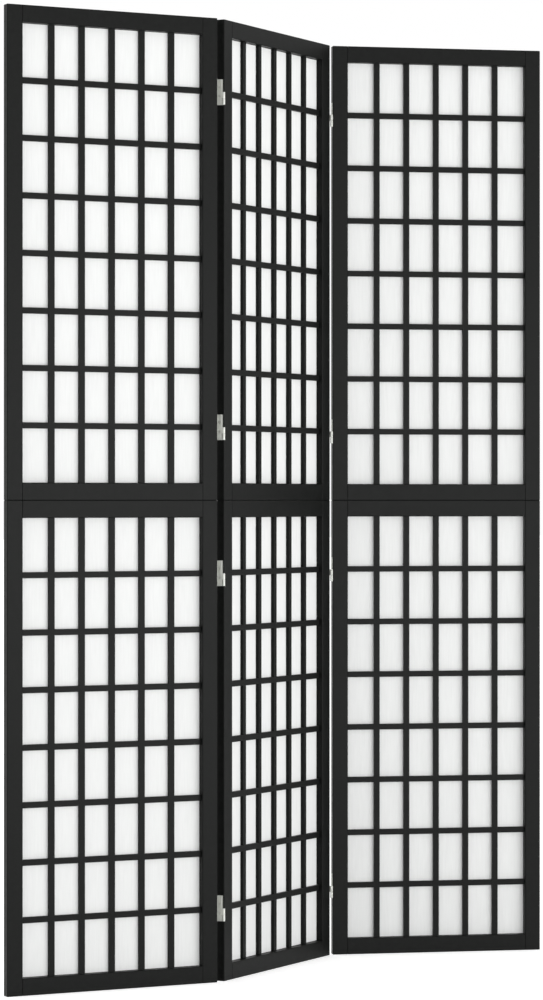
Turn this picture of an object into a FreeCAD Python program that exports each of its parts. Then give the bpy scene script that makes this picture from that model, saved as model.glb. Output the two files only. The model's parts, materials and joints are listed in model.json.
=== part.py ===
"""Three-panel shoji folding screen: black wooden frames, a half-lapped lattice and white paper.

Each panel is two equal half-frames, the upper one turned upside down on the lower one.  A half
has two stiles, two rails tenoned into them, a lattice whose bars cross in half laps and end in
stub tenons, and a sheet of paper held behind the lattice by thin beads.  Two-way hinges, each
with two leaves, a link and two pins, let a panel fold to either side of the next one.

The frame of the part: +Z up, origin on the floor under the middle of the standing screen, the
front faces looking towards -Y and the run of the screen along X.  Lengths in millimetres.
"""
import FreeCAD, Part
import math
import os

import Sketcher
from FreeCAD import Placement, Rotation, Vector

# The driving dimensions, one cell each.
SIZES = {
    # Outline of a panel.
    "panel_width": 400.0,
    "half_height": 850.0,
    "frame_depth": 16.0,
    "stile_width": 29.0,
    "rail_width": 30.0,
    "edge_ease": 1.0,
    # Tenons of the rails in the stiles.
    "tenon_length": 18.0,
    "tenon_height": 20.0,
    "tenon_thickness": 6.0,
    "tenon_end_gap": 1.0,
    # Lattice.
    "columns": 6,
    "rows": 8,
    "bar_width": 10.5,
    "bar_depth": 6.2,
    "bar_setback": 7.0,
    "stub_length": 4.0,
    "wood_clearance": 0.1,
    # Paper and the beads behind it.
    "paper_thickness": 0.4,
    "paper_side_gap": 0.5,
    "bead_width": 6.0,
    "bead_reveal": 0.2,
    # Loose tenons that join the two halves of a panel.
    "loose_tenon_width": 40.0,
    "loose_tenon_height": 38.0,
    "loose_tenon_thickness": 6.0,
    # Two-way hinges.
    "hinge_height": 45.0,
    "hinge_inset": 129.0,
    "leaf_thickness": 1.2,
    "leaf_side_step": 3.0,
    "pin_diameter": 2.2,
    "pin_clearance": 0.05,
    "barrel_proud": 0.25,
    "barrel_sides": 8,
    "knuckle_gap": 0.3,
    # How the screen stands: how far each outer panel is turned from straight.
    "left_turn": 34.4,
    "right_turn": 50.7,
    "mid_heading": 28.3,
}

# Lengths that follow from the driving dimensions.
OPENING_WIDTH = "(Sizes.panel_width - 2 * Sizes.stile_width)"
OPENING_HEIGHT = "(Sizes.half_height - 2 * Sizes.rail_width)"
COLUMN_PITCH = f"({OPENING_WIDTH} / Sizes.columns)"
ROW_PITCH = f"({OPENING_HEIGHT} / Sizes.rows)"
BAR_BACK = "(Sizes.bar_setback + Sizes.bar_depth)"
PAPER_FRONT = f"({BAR_BACK} + Sizes.wood_clearance)"
BEAD_FRONT = f"({PAPER_FRONT} + Sizes.paper_thickness + Sizes.wood_clearance)"
BEAD_DEPTH = f"(Sizes.frame_depth - Sizes.bead_reveal - {BEAD_FRONT})"
LOOSE_TENON_INSET = f"({COLUMN_PITCH} / 2)"
BORE_RADIUS = "(Sizes.pin_diameter / 2 + Sizes.pin_clearance)"
BARREL_RADIUS = f"({BORE_RADIUS} + Sizes.leaf_thickness)"
CORNER_STEP = "(360 / Sizes.barrel_sides)"
PANEL_GAP = f"(4 * {BARREL_RADIUS} - Sizes.leaf_thickness)"
HALF_HINGE = "(Sizes.hinge_height / 2)"
KNUCKLE_LENGTH = f"({HALF_HINGE} / 2 - Sizes.knuckle_gap)"
HINGE_SPACING = "(Sizes.half_height - 2 * Sizes.hinge_inset)"

doc = FreeCAD.newDocument("FoldingScreen")
sheet = doc.addObject("Spreadsheet::Sheet", "Sizes")
for row, (alias, size) in enumerate(SIZES.items(), start=1):
    sheet.set(f"A{row}", alias)
    sheet.set(f"B{row}", str(size))
    sheet.setAlias(f"B{row}", alias)
doc.recompute()


def value(expression):
    """Number that an expression on the sheet gives."""
    return float(sheet.evalExpression(expression))


# ---------------------------------------------------------------- small modelling helpers

def new_body(label, placement, several_solids=False):
    body = doc.addObject("PartDesign::Body", label)
    body.Label = label
    body.AllowCompound = several_solids
    body.Placement = placement
    return body


def origin_feature(body, role):
    return next(feature for feature in body.Origin.OriginFeatures if feature.Role == role)


def new_sketch(body, name, plane, height="0", shift=("0", "0")):
    """Sketch parallel to an origin plane, its own origin moved within and off that plane."""
    sketch = body.newObject("Sketcher::SketchObject", name)
    sketch.AttachmentSupport = (origin_feature(body, plane), [""])
    sketch.MapMode = "FlatFace"
    sketch.setExpression("AttachmentOffset.Base.x", shift[0])
    sketch.setExpression("AttachmentOffset.Base.y", shift[1])
    sketch.setExpression("AttachmentOffset.Base.z", height)
    return sketch


def place_point(sketch, geometry, end, x, y):
    """Dimension a point from the sketch's origin by two expressions."""
    for kind, expression in (("DistanceX", x), ("DistanceY", y)):
        index = sketch.addConstraint(
            Sketcher.Constraint(kind, -1, 1, geometry, end, value(expression)))
        sketch.setExpression(f"Constraints[{index}]", expression)


def add_polygon(sketch, corners):
    """Closed outline through corners that are pairs of expressions."""
    points = [Vector(value(x), value(y), 0) for x, y in corners]
    lines = [sketch.addGeometry(Part.LineSegment(start, end), False)
             for start, end in zip(points, points[1:] + points[:1])]
    for line, following in zip(lines, lines[1:] + lines[:1]):
        sketch.addConstraint(Sketcher.Constraint("Coincident", line, 2, following, 1))
    for line, (x, y) in zip(lines, corners):
        place_point(sketch, line, 1, x, y)


def add_rectangle(sketch, left, bottom, width, height):
    right = f"({left} + {width})"
    top = f"({bottom} + {height})"
    add_polygon(sketch, [(left, bottom), (right, bottom), (right, top), (left, top)])


def pad(body, sketch, length, backwards=False):
    feature = body.newObject("PartDesign::Pad", sketch.Name + "_pad")
    feature.Profile = sketch
    feature.setExpression("Length", length)
    feature.Reversed = backwards
    doc.recompute()
    return feature


def pocket(body, sketch, depth, backwards=False):
    """Cut along the sketch's negative normal, or along its normal when backwards."""
    before = body.Shape.Volume
    feature = body.newObject("PartDesign::Pocket", sketch.Name + "_pocket")
    feature.Profile = sketch
    feature.setExpression("Length", depth)
    feature.Reversed = backwards
    doc.recompute()
    if feature.Shape.Volume >= before:
        raise ValueError(f"{body.Label}: {feature.Name} cuts nothing")
    return feature


def pattern(body, originals, axis, spacing, count):
    """Repeat features along an axis of the body, or its whole shape where none are given."""
    feature = body.newObject("PartDesign::LinearPattern", "Row")
    if originals:
        feature.Originals = originals
    else:
        feature.TransformMode = "Whole shape"
    feature.Direction = (origin_feature(body, axis), [""])
    feature.Mode = "Spacing"
    feature.setExpression("Offset", spacing)
    feature.setExpression("Occurrences", count)
    body.Tip = feature
    doc.recompute()
    return feature


def ease_edges(body, base, chosen):
    """Chamfer the edges of a feature that a test picks by their direction."""
    names = [f"Edge{number}" for number, edge in enumerate(base.Shape.Edges, start=1)
             if chosen(edge.tangentAt(edge.FirstParameter))]
    feature = body.newObject("PartDesign::Chamfer", base.Name + "_eased")
    feature.Base = (base, names)
    feature.setExpression("Size", "Sizes.edge_ease")
    doc.recompute()
    return feature


# ---------------------------------------------------------------- frame pieces
# A half-frame lies in its panel's frame: x across from the left edge, y back from the front
# face, z up from the half's outer end.  The seam with the other half is at z = half_height.

def make_stile(label, placement):
    """Left stile; the right one is the same piece turned about the y axis."""
    body = new_body(label, placement)
    section = new_sketch(body, "Section", "XY_Plane")
    add_rectangle(section, "0", "0", "Sizes.stile_width", "Sizes.frame_depth")
    blank = pad(body, section, "Sizes.half_height")
    ease_edges(body, blank, lambda direction: True)

    mortise = new_sketch(body, "BarMortise", "YZ_Plane", "Sizes.stile_width")
    add_rectangle(mortise, "Sizes.bar_setback - Sizes.wood_clearance",
                  f"Sizes.rail_width + {ROW_PITCH} - Sizes.bar_width / 2 - Sizes.wood_clearance",
                  "Sizes.bar_depth + 2 * Sizes.wood_clearance",
                  "Sizes.bar_width + 2 * Sizes.wood_clearance")
    cut = pocket(body, mortise, "Sizes.stub_length + Sizes.wood_clearance")
    pattern(body, [cut], "Z_Axis", ROW_PITCH, "Sizes.rows - 1")

    mortise = new_sketch(body, "RailMortise", "YZ_Plane", "Sizes.stile_width")
    add_rectangle(mortise,
                  "(Sizes.frame_depth - Sizes.tenon_thickness) / 2 - Sizes.wood_clearance",
                  "(Sizes.rail_width - Sizes.tenon_height) / 2 - Sizes.wood_clearance",
                  "Sizes.tenon_thickness + 2 * Sizes.wood_clearance",
                  "Sizes.tenon_height + 2 * Sizes.wood_clearance")
    cut = pocket(body, mortise, "Sizes.tenon_length + Sizes.tenon_end_gap")
    pattern(body, [cut], "Z_Axis", "Sizes.half_height - Sizes.rail_width", "2")


def make_rail(label, placement, at_seam):
    """Rail with its outer edge at z = 0 and the mortises for the bars in its inner edge."""
    body = new_body(label, placement)
    section = new_sketch(body, "Section", "YZ_Plane")
    add_rectangle(section, "0", "0", "Sizes.frame_depth", "Sizes.rail_width")
    blank = pad(body, section, OPENING_WIDTH)
    ease_edges(body, blank, lambda direction: abs(direction.x) > 0.5)

    tenon = new_sketch(body, "Tenon", "YZ_Plane", "-Sizes.tenon_length")
    add_rectangle(tenon, "(Sizes.frame_depth - Sizes.tenon_thickness) / 2",
                  "(Sizes.rail_width - Sizes.tenon_height) / 2",
                  "Sizes.tenon_thickness", "Sizes.tenon_height")
    pad(body, tenon, f"{OPENING_WIDTH} + 2 * Sizes.tenon_length")

    mortise = new_sketch(body, "BarMortise", "XY_Plane", "Sizes.rail_width")
    add_rectangle(mortise, f"{COLUMN_PITCH} - Sizes.bar_width / 2 - Sizes.wood_clearance",
                  "Sizes.bar_setback - Sizes.wood_clearance",
                  "Sizes.bar_width + 2 * Sizes.wood_clearance",
                  "Sizes.bar_depth + 2 * Sizes.wood_clearance")
    cut = pocket(body, mortise, "Sizes.stub_length + Sizes.wood_clearance")
    pattern(body, [cut], "X_Axis", COLUMN_PITCH, "Sizes.columns - 1")

    if at_seam:
        slot = new_sketch(body, "LooseTenonMortise", "XY_Plane")
        add_rectangle(slot,
                      f"{LOOSE_TENON_INSET} - Sizes.loose_tenon_width / 2 - Sizes.wood_clearance",
                      "(Sizes.frame_depth - Sizes.loose_tenon_thickness) / 2"
                      " - Sizes.wood_clearance",
                      "Sizes.loose_tenon_width + 2 * Sizes.wood_clearance",
                      "Sizes.loose_tenon_thickness + 2 * Sizes.wood_clearance")
        cut = pocket(body, slot, "Sizes.loose_tenon_height / 2 + Sizes.tenon_end_gap",
                     backwards=True)
        pattern(body, [cut], "X_Axis", f"{OPENING_WIDTH} - 2 * {LOOSE_TENON_INSET}", "2")


# ---------------------------------------------------------------- lattice
# Uprights are notched from behind and cross bars from in front, each to half its depth, so
# that the faces of the lattice are flush where the bars cross.

def make_upright_bars(label, placement):
    body = new_body(label, placement, several_solids=True)
    section = new_sketch(body, "Section", "XY_Plane", "Sizes.rail_width - Sizes.stub_length")
    add_rectangle(section, f"Sizes.stile_width + {COLUMN_PITCH} - Sizes.bar_width / 2",
                  "Sizes.bar_setback", "Sizes.bar_width", "Sizes.bar_depth")
    bar = pad(body, section, f"{OPENING_HEIGHT} + 2 * Sizes.stub_length")
    pattern(body, [bar], "X_Axis", COLUMN_PITCH, "Sizes.columns - 1")

    lap = new_sketch(body, "Lap", "XZ_Plane", f"-{BAR_BACK}")
    add_rectangle(lap, "Sizes.stile_width",
                  f"Sizes.rail_width + {ROW_PITCH} - Sizes.bar_width / 2 - Sizes.wood_clearance",
                  OPENING_WIDTH, "Sizes.bar_width + 2 * Sizes.wood_clearance")
    cut = pocket(body, lap, "Sizes.bar_depth / 2 + Sizes.wood_clearance", backwards=True)
    pattern(body, [cut], "Z_Axis", ROW_PITCH, "Sizes.rows - 1")


def make_cross_bars(label, placement):
    body = new_body(label, placement, several_solids=True)
    section = new_sketch(body, "Section", "YZ_Plane", "Sizes.stile_width - Sizes.stub_length")
    add_rectangle(section, "Sizes.bar_setback",
                  f"Sizes.rail_width + {ROW_PITCH} - Sizes.bar_width / 2",
                  "Sizes.bar_depth", "Sizes.bar_width")
    bar = pad(body, section, f"{OPENING_WIDTH} + 2 * Sizes.stub_length")
    pattern(body, [bar], "Z_Axis", ROW_PITCH, "Sizes.rows - 1")

    lap = new_sketch(body, "Lap", "XZ_Plane", "-Sizes.bar_setback")
    add_rectangle(
        lap, f"Sizes.stile_width + {COLUMN_PITCH} - Sizes.bar_width / 2 - Sizes.wood_clearance",
        "Sizes.rail_width", "Sizes.bar_width + 2 * Sizes.wood_clearance", OPENING_HEIGHT)
    cut = pocket(body, lap, "Sizes.bar_depth / 2 + Sizes.wood_clearance")
    pattern(body, [cut], "X_Axis", COLUMN_PITCH, "Sizes.columns - 1")


# ---------------------------------------------------------------- paper and beads

def make_paper(label, placement):
    body = new_body(label, placement)
    sheet_outline = new_sketch(body, "Sheet", "XZ_Plane", f"-{PAPER_FRONT}")
    add_rectangle(sheet_outline, "Sizes.stile_width + Sizes.paper_side_gap",
                  "Sizes.rail_width + Sizes.paper_side_gap",
                  f"{OPENING_WIDTH} - 2 * Sizes.paper_side_gap",
                  f"{OPENING_HEIGHT} - 2 * Sizes.paper_side_gap")
    pad(body, sheet_outline, "Sizes.paper_thickness", backwards=True)


def make_beads(label, placement):
    """Four strips round each opening of a panel, the cross strips between the upright ones."""
    body = new_body(label, placement, several_solids=True)
    strips = new_sketch(body, "Strips", "XZ_Plane", f"-{BEAD_FRONT}")
    left = "Sizes.stile_width + Sizes.wood_clearance"
    right = "Sizes.panel_width - Sizes.stile_width - Sizes.wood_clearance - Sizes.bead_width"
    bottom = "Sizes.rail_width + Sizes.wood_clearance"
    top = "Sizes.half_height - Sizes.rail_width - Sizes.wood_clearance - Sizes.bead_width"
    for side in (left, right):
        add_rectangle(strips, side, bottom, "Sizes.bead_width",
                      f"{OPENING_HEIGHT} - 2 * Sizes.wood_clearance")
    for end in (bottom, top):
        add_rectangle(strips, f"{left} + Sizes.bead_width + Sizes.wood_clearance", end,
                      f"{OPENING_WIDTH} - 2 * Sizes.bead_width - 4 * Sizes.wood_clearance",
                      "Sizes.bead_width")
    pad(body, strips, BEAD_DEPTH, backwards=True)
    pattern(body, [], "Z_Axis", "Sizes.half_height", "2")


def make_loose_tenons(label, placement):
    """Tongues let into the seam rails of both halves, which keep the upper half in line."""
    body = new_body(label, placement, several_solids=True)
    section = new_sketch(body, "Section", "XY_Plane",
                         "Sizes.half_height - Sizes.loose_tenon_height / 2")
    add_rectangle(section,
                  f"Sizes.stile_width + {LOOSE_TENON_INSET} - Sizes.loose_tenon_width / 2",
                  "(Sizes.frame_depth - Sizes.loose_tenon_thickness) / 2",
                  "Sizes.loose_tenon_width", "Sizes.loose_tenon_thickness")
    tenon = pad(body, section, "Sizes.loose_tenon_height")
    pattern(body, [tenon], "X_Axis", f"{OPENING_WIDTH} - 2 * {LOOSE_TENON_INSET}", "2")


# ---------------------------------------------------------------- hinges
# A hinge is drawn on the left end of a panel, outward being -x, with z = 0 at its middle.  Its
# front barrel takes the lower half of its height and its back barrel the upper half.  In each
# barrel the link has the knuckle next to the middle and a leaf has the outer one.

FRONT_AXIS = (f"(-{BARREL_RADIUS})", "(-Sizes.barrel_proud)")
BACK_AXIS = (f"({BARREL_RADIUS} - {PANEL_GAP})", "(Sizes.frame_depth + Sizes.barrel_proud)")
PLATE_FRONT = "Sizes.leaf_side_step"
PLATE_BACK = "(Sizes.frame_depth - Sizes.leaf_side_step)"


def add_plate(body, inner_face):
    """Flat of a leaf or link, as tall as the hinge, with its panel side at inner_face."""
    plate = new_sketch(body, "Plate", "YZ_Plane", inner_face)
    add_rectangle(plate, PLATE_FRONT, f"-{HALF_HINGE}", f"{PLATE_BACK} - {PLATE_FRONT}",
                  "Sizes.hinge_height")
    pad(body, plate, "Sizes.leaf_thickness", backwards=True)


def add_knuckle(body, name, axis, plate_edge, side, reach, foot):
    """Strip bent in flats from the edge of a plate three quarters of a turn round a pin.

    side is 1 where the plate lies on the +x side of the pin and -1 on its other side; reach is
    1 where the plate lies behind the pin and -1 where it lies in front of it.
    """
    x, y = axis

    def bends(radius):
        """Bends of one face of the strip, whose flats lie at a radius from the pin's axis."""
        corner = f"{radius} / cos({CORNER_STEP} / 2)"
        return [(f"({x} + {side} * {corner} * cos({number} * {CORNER_STEP} / 2))",
                 f"({y} - {reach} * {corner} * sin({number} * {CORNER_STEP} / 2))")
                for number in range(1, 3 * SIZES["barrel_sides"] // 2, 2)]

    outer = [(f"({x} + {side} * {BARREL_RADIUS})", plate_edge)] + bends(BARREL_RADIUS)
    inner = [(f"({x} + {side} * {BORE_RADIUS})", plate_edge)] + bends(BORE_RADIUS)
    tip = [(x, f"({y} + {reach} * {radius})") for radius in (BARREL_RADIUS, BORE_RADIUS)]
    roll = new_sketch(body, name, "XY_Plane", foot)
    add_polygon(roll, outer + tip + inner[::-1])
    pad(body, roll, KNUCKLE_LENGTH)


def repeat_up_the_panel(body):
    """Two hinges on each half-frame."""
    pattern(body, [], "Z_Axis", HINGE_SPACING, "2")
    pattern(body, [], "Z_Axis", "Sizes.half_height", "2")


def make_leaves(label, placement, foot):
    """Leaves of one hand: a plate on the end of the panel and one knuckle at its front."""
    body = new_body(label, placement, several_solids=True)
    add_plate(body, "0")
    add_knuckle(body, "Knuckle", FRONT_AXIS, PLATE_FRONT, 1, 1, foot)
    repeat_up_the_panel(body)


def make_links(label, placement):
    """Middle plates, each with a knuckle of the front barrel and one of the back barrel."""
    body = new_body(label, placement, several_solids=True)
    add_plate(body, f"(Sizes.leaf_thickness - 2 * {BARREL_RADIUS})")
    add_knuckle(body, "FrontKnuckle", FRONT_AXIS, PLATE_FRONT, -1, 1, LOWER_INNER_FOOT)
    add_knuckle(body, "BackKnuckle", BACK_AXIS, PLATE_BACK, 1, -1, UPPER_INNER_FOOT)
    repeat_up_the_panel(body)


def make_pins(label, placement):
    """A front pin and a back pin for each hinge."""
    body = new_body(label, placement, several_solids=True)
    for name, (x, y), foot in (("FrontPin", FRONT_AXIS, LOWER_OUTER_FOOT),
                               ("BackPin", BACK_AXIS, UPPER_INNER_FOOT)):
        section = new_sketch(body, name, "XY_Plane", foot)
        add_polygon(section, [(f"({x} + Sizes.pin_diameter / 2 * cos({number} * {CORNER_STEP}))",
                               f"({y} + Sizes.pin_diameter / 2 * sin({number} * {CORNER_STEP}))")
                              for number in range(SIZES["barrel_sides"])])
        pad(body, section, f"{HALF_HINGE} - Sizes.knuckle_gap")
    repeat_up_the_panel(body)


# Heights at which the four knuckle places of a hinge start.
LOWER_OUTER_FOOT = f"(-{HALF_HINGE} + Sizes.knuckle_gap / 2)"
LOWER_INNER_FOOT = f"(-{HALF_HINGE} / 2 + Sizes.knuckle_gap / 2)"
UPPER_INNER_FOOT = "(Sizes.knuckle_gap / 2)"
UPPER_OUTER_FOOT = f"({HALF_HINGE} / 2 + Sizes.knuckle_gap / 2)"


# ---------------------------------------------------------------- where the pieces stand
# The middle panel's left front corner is the origin of the plan until all pieces are drawn.

width = SIZES["panel_width"]
depth = SIZES["frame_depth"]
height = SIZES["half_height"]
gap = value(PANEL_GAP)
barrel = value(BARREL_RADIUS)
proud = SIZES["barrel_proud"]
UP = Vector(0, 0, 1)
ACROSS_DEPTH = Vector(0, 1, 0)


def turn(degrees):
    return Rotation(UP, degrees)


def hung_at(pivot, pivot_in_panel, heading):
    """Place a panel so that a point of it lies on a pivot."""
    return Placement(pivot - turn(heading).multVec(pivot_in_panel), turn(heading))


# Pin axes as points of the middle panel's plan, with the links lying along its ends.
LEFT_FRONT_PIN = Vector(-barrel, -proud, 0)
LEFT_BACK_PIN = Vector(barrel - gap, depth + proud, 0)
RIGHT_BACK_PIN = Vector(width + barrel, depth + proud, 0)
RIGHT_FRONT_PIN = Vector(width + gap - barrel, -proud, 0)

mid_place = Placement(Vector(), turn(SIZES["mid_heading"]))
panels = {
    "left": hung_at(mid_place.multVec(LEFT_BACK_PIN), Vector(width + barrel, depth + proud, 0),
                    SIZES["mid_heading"] - SIZES["left_turn"]),
    "mid": mid_place,
    "right": hung_at(mid_place.multVec(RIGHT_FRONT_PIN), Vector(-barrel, -proud, 0),
                     SIZES["mid_heading"] - SIZES["right_turn"]),
}

# The upper half is a lower half turned upside down about the depth of the panel.
HALVES = {
    "lower": Placement(),
    "upper": Placement(Vector(width, 0, 2 * height), Rotation(ACROSS_DEPTH, 180)),
}
OTHER_SIDE = Placement(Vector(width, 0, height), Rotation(ACROSS_DEPTH, 180))
OPPOSITE = {"left": "right", "right": "left"}


def build_half(panel, half):
    place = panels[panel].multiply(HALVES[half])
    prefix = f"{panel}_{half}_"
    for drawn_side in ("left", "right"):
        side = drawn_side if half == "lower" else OPPOSITE[drawn_side]
        make_stile(f"{prefix}{side}_stile",
                   place if drawn_side == "left" else place.multiply(OTHER_SIDE))
    outer = Placement(Vector(SIZES["stile_width"], 0, 0), Rotation())
    seam = OTHER_SIDE.multiply(outer)
    make_rail(f"{prefix}outer_rail", place.multiply(outer), at_seam=False)
    make_rail(f"{prefix}seam_rail", place.multiply(seam), at_seam=True)
    make_upright_bars(f"{prefix}upright_bars", place)
    make_cross_bars(f"{prefix}cross_bars", place)
    make_paper(f"{prefix}paper", place)


for panel in panels:
    for half in HALVES:
        build_half(panel, half)
    make_beads(f"{panel}_paper_beads", panels[panel])
    make_loose_tenons(f"{panel}_loose_tenons", panels[panel])

# Hinges: z = 0 of a drawn hinge stands at the height of the lowest one.
at_hinge = Placement(Vector(0, 0, SIZES["hinge_inset"]), Rotation())
past_gap = Placement(Vector(width + gap, 0, 0), Rotation())
right_end = Placement(Vector(width, depth, 0), turn(180))
left_hung = panels["left"].multiply(at_hinge)
mid_hung = panels["mid"].multiply(at_hinge)
right_hung = panels["right"].multiply(at_hinge)
make_leaves("left_hinge_leaves", left_hung.multiply(right_end), UPPER_OUTER_FOOT)
make_leaves("mid_left_hinge_leaves", mid_hung, LOWER_OUTER_FOOT)
make_leaves("mid_right_hinge_leaves", mid_hung.multiply(right_end), UPPER_OUTER_FOOT)
make_leaves("right_hinge_leaves", right_hung, LOWER_OUTER_FOOT)
for side, spot in (("left", mid_hung), ("right", mid_hung.multiply(past_gap))):
    make_links(f"{side}_hinge_links", spot)
    make_pins(f"{side}_hinge_pins", spot)

# The middle of the whole plan comes to the origin.
doc.recompute()
bodies = [item for item in doc.Objects if item.TypeId == "PartDesign::Body"]
whole = FreeCAD.BoundBox()
for body in bodies:
    whole.add(body.Shape.BoundBox)
to_origin = Vector(-whole.Center.x, -whole.Center.y, 0)
for body in bodies:
    body.Placement = Placement(to_origin, Rotation()).multiply(body.Placement)

# ---------------------------------------------------------------- check and write

doc.recompute()
for item in doc.Objects:
    if "Invalid" in item.State or "Error" in item.State:
        raise ValueError(f"{item.Label} failed: {item.State}")
for body in bodies:
    if body.Shape.isNull() or not body.Shape.isValid():
        raise ValueError(f"{body.Label} has no valid shape")

os.makedirs("parts", exist_ok=True)
for body in bodies:
    body.Shape.exportStep(f"parts/{body.Label}.step")

print(len(bodies), "nodes,", sum(len(body.Shape.Solids) for body in bodies), "solids")
for name, pin in (("left front pin", LEFT_FRONT_PIN), ("left back pin", LEFT_BACK_PIN),
                  ("right back pin", RIGHT_BACK_PIN), ("right front pin", RIGHT_FRONT_PIN)):
    axis = mid_place.multVec(pin) + to_origin
    print(f"{name}: x {axis.x:.4f} y {axis.y:.4f}")
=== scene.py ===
"""Looks of a black three-panel shoji folding screen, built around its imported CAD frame.

The CAD solids of the wood stay as they are and get their paint.  The paper sheets and the
two-way hinges are modelled here in full, in place of their plain solids, and the screws are
added.  Lengths are in metres, in the row frame: +Z up, front faces towards -Y.
"""
import json
import math

import bmesh
import bpy
from mathutils import Matrix, Vector, noise


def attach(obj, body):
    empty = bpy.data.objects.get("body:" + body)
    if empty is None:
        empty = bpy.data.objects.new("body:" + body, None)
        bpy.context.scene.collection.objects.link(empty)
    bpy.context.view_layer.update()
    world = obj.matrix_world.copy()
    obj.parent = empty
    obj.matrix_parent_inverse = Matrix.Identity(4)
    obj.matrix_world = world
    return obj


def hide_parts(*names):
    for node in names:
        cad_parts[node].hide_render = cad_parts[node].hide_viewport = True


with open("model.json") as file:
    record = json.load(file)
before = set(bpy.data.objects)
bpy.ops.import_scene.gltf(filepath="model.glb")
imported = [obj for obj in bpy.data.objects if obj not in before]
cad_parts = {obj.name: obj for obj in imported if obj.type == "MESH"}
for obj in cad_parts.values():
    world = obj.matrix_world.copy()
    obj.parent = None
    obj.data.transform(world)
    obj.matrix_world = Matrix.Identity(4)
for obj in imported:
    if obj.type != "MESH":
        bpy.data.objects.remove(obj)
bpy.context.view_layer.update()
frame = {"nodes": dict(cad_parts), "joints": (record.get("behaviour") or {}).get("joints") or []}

MM = 0.001

# A panel, as the CAD has it.
PANEL_WIDTH = 400 * MM
HALF_HEIGHT = 850 * MM
FRAME_DEPTH = 16 * MM
STILE_WIDTH = 29 * MM
RAIL_WIDTH = 30 * MM
COLUMNS = 6
ROWS = 8
OPENING_WIDTH = PANEL_WIDTH - 2 * STILE_WIDTH
OPENING_HEIGHT = HALF_HEIGHT - 2 * RAIL_WIDTH

# Paper, which lies on the backs of the lattice bars.
PAPER_FRONT = 13.3 * MM
PAPER_THICKNESS = 0.3 * MM
PAPER_SIDE_GAP = 0.5 * MM
PAPER_SLACK = 0.12 * MM
STEPS_ACROSS_CELL = 8
STEPS_UP_CELL = 12

# Two-way hinge, as the CAD has it.
HINGE_HEIGHT = 45 * MM
HINGE_INSET = 129 * MM
PLATE_THICKNESS = 1.2 * MM
PLATE_SIDE_STEP = 3 * MM
BORE_RADIUS = 1.15 * MM
PIN_RADIUS = 1.1 * MM
BARREL_RADIUS = BORE_RADIUS + PLATE_THICKNESS
BARREL_PROUD = 0.25 * MM
KNUCKLE_GAP = 0.3 * MM
KNUCKLE_LENGTH = HINGE_HEIGHT / 4 - KNUCKLE_GAP
PANEL_GAP = 4 * BARREL_RADIUS - PLATE_THICKNESS
HINGE_HEIGHTS = (HINGE_INSET, HALF_HEIGHT - HINGE_INSET,
                 HALF_HEIGHT + HINGE_INSET, 2 * HALF_HEIGHT - HINGE_INSET)
EDGE_ROUNDING = 0.2 * MM
ROLL_ANGLE = math.radians(270)
ROLL_STEPS = 12

# Screws, and the holes in the links through which a driver reaches them.
SCREW_SPREAD = 8 * MM
SCREW_HEAD_RADIUS = 2.4 * MM
SCREW_HOLE_RADIUS = 2.6 * MM
SCREW_SHANK_RADIUS = 1.2 * MM
SCREW_LENGTH = 10 * MM
SCREW_POINT_LENGTH = 3 * MM
RECESS_RADIUS = 1.44 * MM
RECESS_DEPTH = 1.3 * MM

Z_AXIS = Vector((0, 0, 1))
SHARPEST_SMOOTH_EDGE = math.radians(28)
SAME_PLACE = 0.001 * MM


# ---------------------------------------------------------------- where the panels stand

pins = {joint["name"]: Vector(joint["pos_m"]).xy.to_3d() for joint in frame["joints"]}
turned_at_rest = {joint["name"]: math.radians(-joint["range_deg"][0])
                  for joint in frame["joints"]}
along_mid = pins["right_front_pin"] - pins["left_front_pin"]
MID_HEADING = math.atan2(along_mid.y, along_mid.x)
HEADINGS = {
    "left": MID_HEADING - turned_at_rest["left_back_pin"],
    "mid": MID_HEADING,
    "right": MID_HEADING - turned_at_rest["right_front_pin"],
}
FRONT_PIN_AT_LEFT_END = Vector((-BARREL_RADIUS, -BARREL_PROUD, 0))
BACK_PIN_AT_RIGHT_END = Vector((PANEL_WIDTH + BARREL_RADIUS, FRAME_DEPTH + BARREL_PROUD, 0))


def hung_at(pin, pin_in_panel, heading):
    """Matrix from a panel's own coordinates (x across, y back, z up) to the row frame."""
    turn = Matrix.Rotation(heading, 4, Z_AXIS)
    return Matrix.Translation(pin - turn @ pin_in_panel) @ turn


PANELS = {
    "left": hung_at(pins["left_back_pin"], BACK_PIN_AT_RIGHT_END, HEADINGS["left"]),
    "mid": hung_at(pins["left_front_pin"], FRONT_PIN_AT_LEFT_END, HEADINGS["mid"]),
    "right": hung_at(pins["right_front_pin"], FRONT_PIN_AT_LEFT_END, HEADINGS["right"]),
}


# ---------------------------------------------------------------- small helpers

def linear(hex_colour):
    """Shader colour of an sRGB hex value such as '#1d1e1d'."""
    channels = [int(hex_colour[start:start + 2], 16) / 255 for start in (1, 3, 5)]
    return [c / 12.92 if c <= 0.04045 else ((c + 0.055) / 1.055) ** 2.4
            for c in channels] + [1.0]


def add_node(tree, kind, sockets=None, **settings):
    """Add a node, set its properties, and give each named input a value or a link."""
    node = tree.nodes.new(kind)
    for name, setting in settings.items():
        setattr(node, name, setting)
    for name, given in (sockets or {}).items():
        if isinstance(given, bpy.types.NodeSocket):
            tree.links.new(given, node.inputs[name])
        else:
            node.inputs[name].default_value = given
    return node


def new_material(name):
    material = bpy.data.materials.new(name)
    material.use_nodes = True
    material.node_tree.nodes.clear()
    return material, material.node_tree


def output(tree, shader):
    add_node(tree, "ShaderNodeOutputMaterial", {"Surface": shader.outputs[0]})


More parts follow.
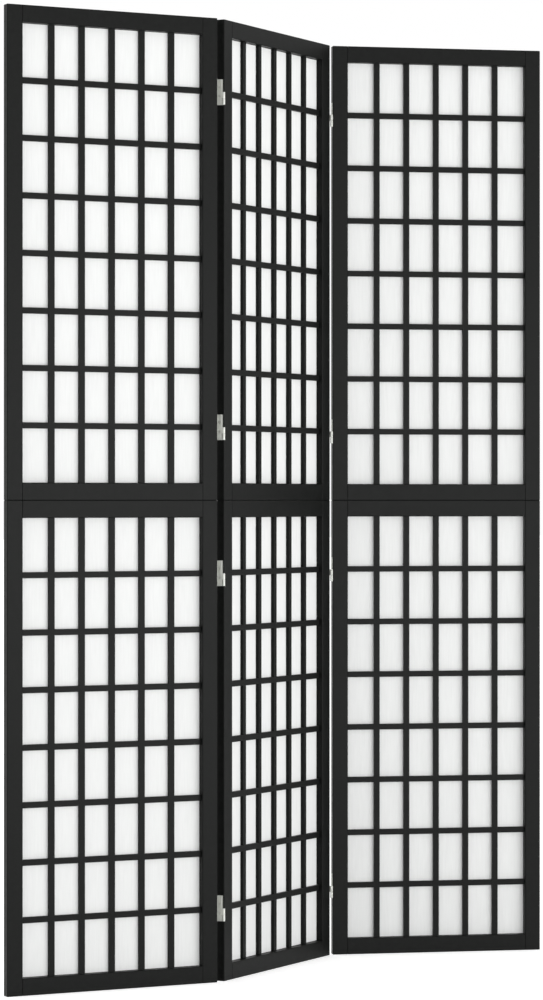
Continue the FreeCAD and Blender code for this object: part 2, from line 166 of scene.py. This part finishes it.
def streaks(tree, heading, size, detail=3):
    """Noise in the coordinates of a panel, its grain as long each way as size says."""
    place = add_node(tree, "ShaderNodeTexCoord").outputs["Object"]
    turned = add_node(tree, "ShaderNodeVectorRotate",
                      {"Vector": place, "Axis": Z_AXIS, "Angle": -heading},
                      rotation_type="AXIS_ANGLE")
    scaled = add_node(tree, "ShaderNodeMapping",
                      {"Vector": turned.outputs[0], "Scale": [1 / length for length in size]})
    return add_node(tree, "ShaderNodeTexNoise",
                    {"Vector": scaled.outputs[0], "Scale": 1.0, "Detail": detail})


def between(tree, factor, low, high):
    """Spread a noise's middle range over the numbers from low to high."""
    return add_node(tree, "ShaderNodeMapRange",
                    {"Value": factor, "From Min": 0.3, "From Max": 0.7,
                     "To Min": low, "To Max": high}).outputs[0]


# ---------------------------------------------------------------- materials

def satin_black_paint(name, heading, grain_along):
    """Sprayed satin lacquer on paulownia: even and nearly black, with a soft broad sheen and
    the ghost of the grain under it."""
    material, tree = new_material(name)
    # Paulownia's pores are a third of a millimetre wide; they are drawn 1.6 mm wide to show.
    across, along = 1.6 * MM, 70 * MM
    grain_size = (along, across, across) if grain_along == "x" else (across, across, along)
    grain = streaks(tree, heading, grain_size)
    mottle = streaks(tree, heading, (9 * MM, 9 * MM, 9 * MM))
    bump = add_node(tree, "ShaderNodeBump",
                    {"Height": grain.outputs["Fac"], "Strength": 0.6, "Distance": 0.1 * MM})
    tint = add_node(tree, "ShaderNodeMix",
                    {"Factor": between(tree, mottle.outputs["Fac"], 0, 1),
                     "A": linear("#101110"), "B": linear("#151615")}, data_type="RGBA")
    shader = add_node(tree, "ShaderNodeBsdfPrincipled",
                      {"Base Color": tint.outputs["Result"],
                       "Roughness": between(tree, mottle.outputs["Fac"], 0.36, 0.46),
                       "IOR": 1.45,
                       "Specular IOR Level": 0.1,
                       "Normal": bump.outputs[0]})
    output(tree, shader)
    return material


def white_nonwoven_paper(name, heading):
    """Pulp and viscose laid into a sheet: matt white, with faint upright streaks of fibre."""
    material, tree = new_material(name)
    # Fibres are a fiftieth of a millimetre thick; their bundles are drawn 3 mm wide to show.
    fibres = streaks(tree, heading, (3 * MM, 3 * MM, 45 * MM), detail=4)
    tint = add_node(tree, "ShaderNodeMix",
                    {"Factor": between(tree, fibres.outputs["Fac"], 0, 1),
                     "A": linear("#f0f1f0"), "B": linear("#f5f6f5")}, data_type="RGBA")
    bump = add_node(tree, "ShaderNodeBump",
                    {"Height": fibres.outputs["Fac"], "Strength": 0.15, "Distance": 0.1 * MM})
    shader = add_node(tree, "ShaderNodeBsdfPrincipled",
                      {"Base Color": tint.outputs["Result"],
                       "Roughness": 0.9,
                       "Specular IOR Level": 0.2,
                       "Normal": bump.outputs[0]})
    through = add_node(tree, "ShaderNodeBsdfTranslucent", {"Color": tint.outputs["Result"]})
    output(tree, add_node(tree, "ShaderNodeMixShader",
                          {"Fac": 0.08, 1: shader.outputs[0], 2: through.outputs[0]}))
    return material


def nickel_plated_steel(name):
    """Rolled strip with a dull, faintly warm nickel plating that has fine upright roll lines."""
    material, tree = new_material(name)
    # Roll lines are finer than a tenth of a millimetre; they are drawn 0.5 mm wide to show.
    roll_lines = streaks(tree, MID_HEADING, (0.5 * MM, 0.5 * MM, 12 * MM))
    tint = add_node(tree, "ShaderNodeMix",
                    {"Factor": between(tree, roll_lines.outputs["Fac"], 0, 1),
                     "A": linear("#bebfba"), "B": linear("#dadbd7")}, data_type="RGBA")
    shader = add_node(tree, "ShaderNodeBsdfPrincipled",
                      {"Base Color": tint.outputs["Result"],
                       "Metallic": 1.0,
                       "Roughness": between(tree, roll_lines.outputs["Fac"], 0.6, 0.75)})
    output(tree, shader)
    return material


def bare_beech(name):
    """Planed beech of the loose tenons: pale pinkish brown with short dark flecks."""
    material, tree = new_material(name)
    flecks = streaks(tree, MID_HEADING, (1 * MM, 1 * MM, 8 * MM))
    tint = add_node(tree, "ShaderNodeMix",
                    {"Factor": between(tree, flecks.outputs["Fac"], 0, 1),
                     "A": linear("#c9a27a"), "B": linear("#b98f68")}, data_type="RGBA")
    shader = add_node(tree, "ShaderNodeBsdfPrincipled",
                      {"Base Color": tint.outputs["Result"], "Roughness": 0.6})
    output(tree, shader)
    return material


# ---------------------------------------------------------------- pieces

def finish_piece(name, bm, place, material, body):
    """Put a modelled piece in place through its mesh, so that its object stays at the origin."""
    bm.transform(place)
    bmesh.ops.recalc_face_normals(bm, faces=bm.faces)
    for edge in bm.edges:
        edge.smooth = edge.calc_face_angle(0) < SHARPEST_SMOOTH_EDGE
    mesh = bpy.data.meshes.new(name)
    bm.to_mesh(mesh)
    bm.free()
    mesh.materials.append(material)
    piece = bpy.data.objects.new(name, mesh)
    bpy.context.scene.collection.objects.link(piece)
    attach(piece, body)
    return piece


def paper_sheet(panel, half, material):
    """Sheet glued to the frame, with a little slack between the bars of the lattice."""
    name = f"{panel}_{half}_paper"
    width = OPENING_WIDTH - 2 * PAPER_SIDE_GAP
    height = OPENING_HEIGHT - 2 * PAPER_SIDE_GAP
    bm = bmesh.new()
    bmesh.ops.create_grid(bm, x_segments=COLUMNS * STEPS_ACROSS_CELL,
                          y_segments=ROWS * STEPS_UP_CELL, size=0.5)
    bmesh.ops.scale(bm, vec=(width, height, 1), verts=bm.verts)
    bmesh.ops.rotate(bm, cent=(0, 0, 0), matrix=Matrix.Rotation(math.radians(90), 3, "X"),
                     verts=bm.verts)
    bottom = 0 if half == "lower" else HALF_HEIGHT
    centre = Vector((PANEL_WIDTH / 2, PAPER_FRONT, bottom + HALF_HEIGHT / 2))
    for vert in bm.verts:
        columns = vert.co.x / OPENING_WIDTH * COLUMNS
        rows = vert.co.z / OPENING_HEIGHT * ROWS
        free = abs(math.sin(math.pi * columns) * math.sin(math.pi * rows))
        # Uneven from cell to cell, and not the same in both halves.
        puckers = noise.noise(Vector((columns * 0.9, rows * 0.7, 7.0 * bottom)))
        vert.co.y += PAPER_SLACK * free * (0.6 + 0.8 * puckers)
    bmesh.ops.solidify(bm, geom=bm.faces[:], thickness=-PAPER_THICKNESS)
    bmesh.ops.translate(bm, vec=centre, verts=bm.verts)
    for face in bm.faces:
        face.smooth = True
    sheet = finish_piece(f"{name}_sheet", bm, PANELS[panel], material, f"{panel}_panel")
    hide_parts(name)


# ---------------------------------------------------------------- hinges
# Drawn on the left end of a panel, outward being -x, with z = 0 at the middle of the hinge.
# The front barrel takes the lower half of the height and the back barrel the upper half.

FRONT_AXIS = FRONT_PIN_AT_LEFT_END
BACK_AXIS = Vector((BARREL_RADIUS - PANEL_GAP, FRAME_DEPTH + BARREL_PROUD, 0))
LOWER_OUTER, LOWER_INNER, UPPER_INNER, UPPER_OUTER = (
    quarter * HINGE_HEIGHT / 4 + KNUCKLE_GAP / 2 for quarter in (-2, -1, 0, 1))
AT_LEFT_END = Matrix.Identity(4)
AT_RIGHT_END = (Matrix.Translation((PANEL_WIDTH, FRAME_DEPTH, 0))
                @ Matrix.Rotation(math.radians(180), 4, Z_AXIS))
PAST_PANEL = Matrix.Translation((PANEL_WIDTH + PANEL_GAP, 0, 0))
UPRIGHT_FROM_FLAT = Matrix(((0, 0, 1), (1, 0, 0), (0, 1, 0)))
X_FROM_Z = Matrix.Rotation(math.radians(90), 3, "Y")


def verts_of(made):
    return [item for item in made["geom"] if isinstance(item, bmesh.types.BMVert)]


def lies_between(verts, low, high, level):
    """Whether all of these verts lie at y = level and from z = low to z = high."""
    return all(abs(vert.co.y - level) < SAME_PLACE
               and low - SAME_PLACE < vert.co.z < high + SAME_PLACE for vert in verts)


def rolled_plate(bm, panel_side, knuckles):
    """Plate with two screw holes, and for each knuckle a tab rolled round its pin.

    panel_side is the x of the plate's face towards the panel.  A knuckle is (axis, foot, turn):
    where its pin stands, its lowest z, and the way it is rolled, seen from above.
    """
    front, back = PLATE_SIDE_STEP, FRAME_DEPTH - PLATE_SIDE_STEP
    made = bmesh.ops.create_grid(bm, x_segments=1, y_segments=1, size=0.5)
    bmesh.ops.scale(bm, vec=(back - front, HINGE_HEIGHT, 1), verts=made["verts"])
    bmesh.ops.rotate(bm, cent=(0, 0, 0), matrix=UPRIGHT_FROM_FLAT, verts=made["verts"])
    bmesh.ops.translate(bm, vec=(panel_side - PLATE_THICKNESS, FRAME_DEPTH / 2, 0),
                        verts=made["verts"])
    for axis, foot, turn in knuckles:
        edge_y = front if axis.y < front else back
        for level in (foot, foot + KNUCKLE_LENGTH):
            bmesh.ops.bisect_plane(bm, geom=bm.verts[:] + bm.edges[:] + bm.faces[:],
                                   plane_co=(0, 0, level), plane_no=Z_AXIS)
        tab = [edge for edge in bm.edges
               if lies_between(edge.verts, foot, foot + KNUCKLE_LENGTH, edge_y)]
        tip = verts_of(bmesh.ops.extrude_edge_only(bm, edges=tab))
        bmesh.ops.translate(bm, vec=(0, axis.y - edge_y, 0), verts=tip)
    rim = [edge for edge in bm.edges if edge.is_boundary]
    bmesh.ops.delete(bm, geom=[edge for edge in bm.edges if not edge.is_boundary],
                     context="EDGES_FACES")
    for side in (-1, 1):
        hole = bmesh.ops.create_circle(bm, segments=16, radius=SCREW_HOLE_RADIUS)["verts"]
        bmesh.ops.rotate(bm, cent=(0, 0, 0), matrix=X_FROM_Z, verts=hole)
        bmesh.ops.translate(bm, verts=hole, vec=(panel_side - PLATE_THICKNESS,
                                                 FRAME_DEPTH / 2, side * SCREW_SPREAD))
    bmesh.ops.triangle_fill(bm, edges=bm.edges[:], use_beauty=True, normal=(1, 0, 0))
    made = bmesh.ops.extrude_face_region(bm, geom=bm.faces[:])
    bmesh.ops.translate(bm, vec=(PLATE_THICKNESS, 0, 0), verts=verts_of(made))
    for axis, foot, turn in knuckles:
        end = [face for face in bm.faces
               if lies_between(face.verts, foot, foot + KNUCKLE_LENGTH, axis.y)]
        bmesh.ops.spin(bm, geom=end, cent=axis, axis=Z_AXIS, steps=ROLL_STEPS,
                       angle=ROLL_ANGLE * turn, use_duplicate=False)
    bmesh.ops.recalc_face_normals(bm, faces=bm.faces)
    sharp = [edge for edge in bm.edges
             if edge.is_manifold and edge.calc_face_angle(0) > math.radians(60)]
    bmesh.ops.bevel(bm, geom=sharp, affect="EDGES", offset=EDGE_ROUNDING, segments=2,
                    profile=0.5, material=-1, clamp_overlap=True)
    for face in bm.faces:
        face.smooth = any(all((vert.co - axis).xy.length < BARREL_RADIUS + SAME_PLACE
                              for vert in face.verts) for axis, foot, turn in knuckles)


def up_the_panel(bm):
    """One of what is drawn for a hinge at the height of each hinge."""
    one = bm.verts[:] + bm.edges[:] + bm.faces[:]
    for height in HINGE_HEIGHTS[1:]:
        copy = verts_of(bmesh.ops.duplicate(bm, geom=one))
        bmesh.ops.translate(bm, vec=(0, 0, height - HINGE_HEIGHTS[0]), verts=copy)
    bmesh.ops.translate(bm, vec=(0, 0, HINGE_HEIGHTS[0]), verts=bm.verts)


def hinge_piece(node, bm, place, body, material):
    """Set a hinge piece, drawn once, up a panel edge in the stead of its CAD node."""
    up_the_panel(bm)
    piece = finish_piece(f"{node}_rolled", bm, place, material, body)
    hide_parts(node)


def pin(bm, axis, foot):
    """Pin through the two knuckles of a barrel."""
    made = bmesh.ops.create_cone(bm, cap_ends=True, segments=16, radius1=PIN_RADIUS,
                                 radius2=PIN_RADIUS, depth=HINGE_HEIGHT / 2 - KNUCKLE_GAP)
    bmesh.ops.translate(bm, verts=made["verts"],
                        vec=axis + Z_AXIS * (foot + HINGE_HEIGHT / 4 - KNUCKLE_GAP / 2))


def screw(bm, z):
    """Countersunk screw with a cross recess, driven through a leaf into the end of a panel."""
    rim = bmesh.ops.create_circle(bm, segments=16, radius=SCREW_HEAD_RADIUS)["verts"]
    star = bmesh.ops.create_circle(bm, segments=8, radius=RECESS_RADIUS)["verts"]
    # Every second corner of the octagon drawn in makes it a cross.
    bmesh.ops.scale(bm, vec=(0.35, 0.35, 1), verts=star[1::2])
    rim_edges = list({edge for vert in rim for edge in vert.link_edges})
    star_edges = list({edge for vert in star for edge in vert.link_edges})
    bmesh.ops.triangle_fill(bm, edges=rim_edges + star_edges, use_beauty=True,
                            normal=Z_AXIS)
    drawn = rim + star
    # How each outline narrows and goes down: the recess, and the head, shank and point.
    loops = ((star_edges, ((0.4, RECESS_DEPTH),)),
             (rim_edges, ((SCREW_SHANK_RADIUS / SCREW_HEAD_RADIUS, PLATE_THICKNESS),
                          (1, SCREW_LENGTH - SCREW_POINT_LENGTH),
                          (0.1, SCREW_POINT_LENGTH))))
    for edges, steps in loops:
        for shrink, deeper in steps:
            made = bmesh.ops.extrude_edge_only(bm, edges=edges)["geom"]
            edges = [item for item in made if isinstance(item, bmesh.types.BMEdge)]
            verts = [item for item in made if isinstance(item, bmesh.types.BMVert)]
            bmesh.ops.scale(bm, vec=(shrink, shrink, 1), verts=verts)
            bmesh.ops.translate(bm, vec=(0, 0, -deeper), verts=verts)
            drawn += verts
        bmesh.ops.holes_fill(bm, edges=edges, sides=0)
    # The head, drawn looking up, comes to look out from the panel's end.
    bmesh.ops.rotate(bm, cent=(0, 0, 0), matrix=X_FROM_Z.inverted(), verts=drawn)
    bmesh.ops.translate(bm, vec=(-PLATE_THICKNESS, FRAME_DEPTH / 2, z), verts=drawn)


# ---------------------------------------------------------------- the object

steel = nickel_plated_steel("nickel plated rolled steel")
beech = bare_beech("planed beech")
for panel, heading in HEADINGS.items():
    upright_paint = satin_black_paint(f"satin black lacquer, upright grain, {panel} panel",
                                      heading, "z")
    level_paint = satin_black_paint(f"satin black lacquer, level grain, {panel} panel",
                                    heading, "x")
    paper = white_nonwoven_paper(f"white non-woven paper, {panel} panel", heading)
    for half in ("lower", "upper"):
        for piece in ("left_stile", "right_stile", "upright_bars"):
            frame["nodes"][f"{panel}_{half}_{piece}"].data.materials[0] = upright_paint
        for piece in ("outer_rail", "seam_rail", "cross_bars"):
            frame["nodes"][f"{panel}_{half}_{piece}"].data.materials[0] = level_paint
        paper_sheet(panel, half, paper)
    frame["nodes"][f"{panel}_paper_beads"].data.materials[0] = upright_paint
    frame["nodes"][f"{panel}_loose_tenons"].data.materials[0] = beech

LEAVES = (
    ("left_hinge_leaves", "left", AT_RIGHT_END, UPPER_OUTER),
    ("mid_left_hinge_leaves", "mid", AT_LEFT_END, LOWER_OUTER),
    ("mid_right_hinge_leaves", "mid", AT_RIGHT_END, UPPER_OUTER),
    ("right_hinge_leaves", "right", AT_LEFT_END, LOWER_OUTER),
)
for node, panel, panel_end, foot in LEAVES:
    leaf = bmesh.new()
    rolled_plate(leaf, 0, [(FRONT_AXIS, foot, -1)])
    hinge_piece(node, leaf, PANELS[panel] @ panel_end, f"{panel}_panel", steel)
    screws = bmesh.new()
    screw(screws, -SCREW_SPREAD)
    screw(screws, SCREW_SPREAD)
    up_the_panel(screws)
    finish_piece(node.replace("leaves", "screws"), screws, PANELS[panel] @ panel_end, steel,
                 f"{panel}_panel")

for side, panel_end in (("left", AT_LEFT_END), ("right", PAST_PANEL)):
    link = bmesh.new()
    rolled_plate(link, PLATE_THICKNESS - 2 * BARREL_RADIUS,
                 [(FRONT_AXIS, LOWER_INNER, 1), (BACK_AXIS, UPPER_INNER, 1)])
    hinge_piece(f"{side}_hinge_links", link, PANELS["mid"] @ panel_end, f"{side}_link", steel)
    both_pins = bmesh.new()
    pin(both_pins, FRONT_AXIS, LOWER_OUTER)
    pin(both_pins, BACK_AXIS, UPPER_INNER)
    hinge_piece(f"{side}_hinge_pins", both_pins, PANELS["mid"] @ panel_end, f"{side}_link",
                steel)


# ---------------------------------------------------------------- floor, light and camera

def looked_at(tree):
    """1 for a ray from the camera, or from what mirrors it or lets it through, and else 0."""
    rays = add_node(tree, "ShaderNodeLightPath").outputs
    seen = rays["Is Camera Ray"]
    for kind in ("Is Glossy Ray", "Is Transmission Ray"):
        seen = add_node(tree, "ShaderNodeMath", {0: seen, 1: rays[kind]},
                        operation="MAXIMUM").outputs[0]
    return seen


def white_floor():
    """Pale studio floor, looked at as lifted to the white behind it, with the shadow kept."""
    material, tree = new_material("white studio floor")
    paint = add_node(tree, "ShaderNodeBsdfDiffuse", {"Color": linear("#f0f0f0")})
    lift = add_node(tree, "ShaderNodeEmission", {"Strength": 0.6})
    both = add_node(tree, "ShaderNodeAddShader", {0: paint.outputs[0], 1: lift.outputs[0]})
    shader = add_node(tree, "ShaderNodeMixShader",
                      {0: looked_at(tree), 1: paint.outputs[0], 2: both.outputs[0]})
    output(tree, shader)
    return material


bm = bmesh.new()
bmesh.ops.create_grid(bm, x_segments=1, y_segments=1, size=60)
mesh = bpy.data.meshes.new("studio_floor")
bm.to_mesh(mesh)
bm.free()
mesh.materials.append(white_floor())
floor = bpy.data.objects.new("studio_floor", mesh)
bpy.context.scene.collection.objects.link(floor)

# A light tent: white behind the screen, dimmer in front, and plain white where looked at.
world = bpy.data.worlds.new("light tent")
bpy.context.scene.world = world
world.use_nodes = True
tree = world.node_tree
tree.nodes.clear()
direction = add_node(tree, "ShaderNodeSeparateXYZ",
                     {"Vector": add_node(tree, "ShaderNodeTexCoord").outputs["Generated"]})
tent = add_node(tree, "ShaderNodeMapRange",
                {"Value": direction.outputs["Y"], "From Min": -0.2, "From Max": 0.6,
                 "To Min": 0.5, "To Max": 1.3}, interpolation_type="SMOOTHSTEP")
strength = add_node(tree, "ShaderNodeMix",
                    {"Factor": looked_at(tree), "A": tent.outputs[0], "B": 1.0})
sky = add_node(tree, "ShaderNodeBackground", {"Color": linear("#ffffff"),
                                              "Strength": strength.outputs[0]})
add_node(tree, "ShaderNodeOutputWorld", {"Surface": sky.outputs[0]})

# A long, low bank of light behind the camera reaches into the recesses of the lattice.
bank = bpy.data.lights.new("bank of light", "AREA")
bank.shape = "RECTANGLE"
bank.size = 10.0
bank.size_y = 1.7
bank.energy = 285
lamp = bpy.data.objects.new("bank of light", bank)
lamp.location = (0.9, -6.2, 0.87)
lamp.rotation_euler = (math.radians(90), 0, math.radians(12))
bpy.context.scene.collection.objects.link(lamp)

# The photograph: taken level, at half the height of the screen, from its left front.
CAMERA_PLACE = Vector((-3.3943, -5.2494, 0.8505))
CAMERA_HEADING = math.radians(-32.923)
LENS_MM = 123.87
lens = bpy.data.cameras.new("camera")
lens.lens = LENS_MM
lens.sensor_width = 36.0
camera = bpy.data.objects.new("camera", lens)
camera.location = CAMERA_PLACE
camera.rotation_euler = (math.radians(90), 0, CAMERA_HEADING)
bpy.context.scene.collection.objects.link(camera)
bpy.context.scene.camera = camera
bpy.context.scene.view_settings.view_transform = "Standard"
